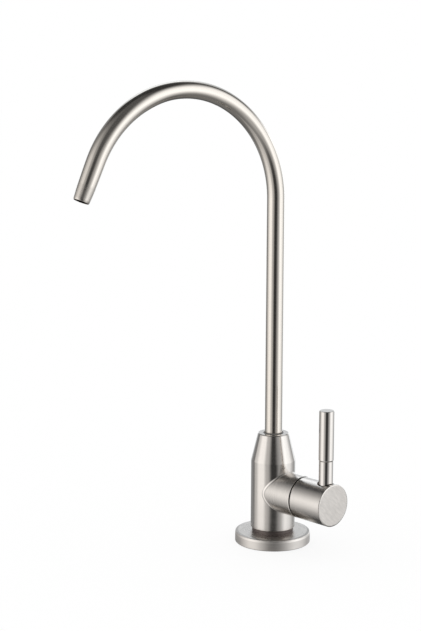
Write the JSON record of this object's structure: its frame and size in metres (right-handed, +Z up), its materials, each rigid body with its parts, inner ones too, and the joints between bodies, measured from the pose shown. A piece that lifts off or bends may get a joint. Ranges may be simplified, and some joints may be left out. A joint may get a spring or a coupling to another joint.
{
  "type": "drinking water filter tap",
  "caption": "Single-hole deck tap with a slim swivel swan-neck spout and a side barrel handle whose upright lever opens a ceramic-disc valve by a quarter turn.",
  "frame": {"origin": "middle of the foot plate's underside, which lies on the worktop", "axes": "+Z up along the spout's riser, +X along the handle, -Y towards the user; at rest the spout is swung 7.4 degrees from -Y, away from the handle"},
  "size_m": [0.0692, 0.1508, 0.3175],
  "materials": {
    "steel": "satin brushed",
    "plain_steel": "plain",
    "dark_steel": "black oxide",
    "brass": "turned",
    "rubber": "matt",
    "plastic": "matt",
    "white_plastic": "matt",
    "ceramic": "lapped"
  },
  "bodies": {
    "tap_body": {"valve_body": "steel", "base_flange": "steel", "foot_ring": "rubber", "flange_gasket": "rubber", "threaded_shank": "plain_steel", "shank_o_ring": "rubber", "swivel_bush": "plastic", "cartridge_housing": "brass", "housing_gasket": "rubber", "seat_seal": "rubber", "fixed_disc": "ceramic"},
    "clamp_washers": {"clamp_rubber_washer": "rubber", "clamp_steel_washer": "plain_steel"},
    "clamp_nut": {"lock_nut": "brass"},
    "spout": {"spout_tube": "steel", "spout_spigot": "brass", "spout_o_rings": "rubber", "spout_snap_ring": "plain_steel"},
    "handle": {"handle_barrel": "steel", "handle_grub_screw": "dark_steel", "lever_stem": "steel", "lever_grip": "steel", "spindle": "brass", "spindle_o_rings": "rubber", "spindle_circlip": "plain_steel", "thrust_washer": "white_plastic", "moving_disc": "ceramic"}
  },
  "joints": [
    {"name": "spout_swivel", "type": "hinge", "parent": "tap_body", "child": "spout", "pos_m": [0, 0, 0.0645], "axis": [0, 0, 1], "continuous": true},
    {"name": "handle_turn", "type": "hinge", "parent": "tap_body", "child": "handle", "pos_m": [0.02, 0, 0.031], "axis": [1, 0, 0], "range_deg": [0, 90]},
    {"name": "clamp_slide", "type": "slide", "parent": "tap_body", "child": "clamp_washers", "axis": [0, 0, 1], "range_m": [-0.008, 0.017]},
    {"name": "nut_turn", "type": "hinge", "parent": "clamp_washers", "child": "clamp_nut", "pos_m": [0, 0, -0.027], "axis": [0, 0, 1], "range_deg": [-2890, 6130]}
  ],
  "couplings": [
    {"joint": "nut_turn", "follows": "clamp_slide", "rad_per_m": 6283.2}
  ]
}
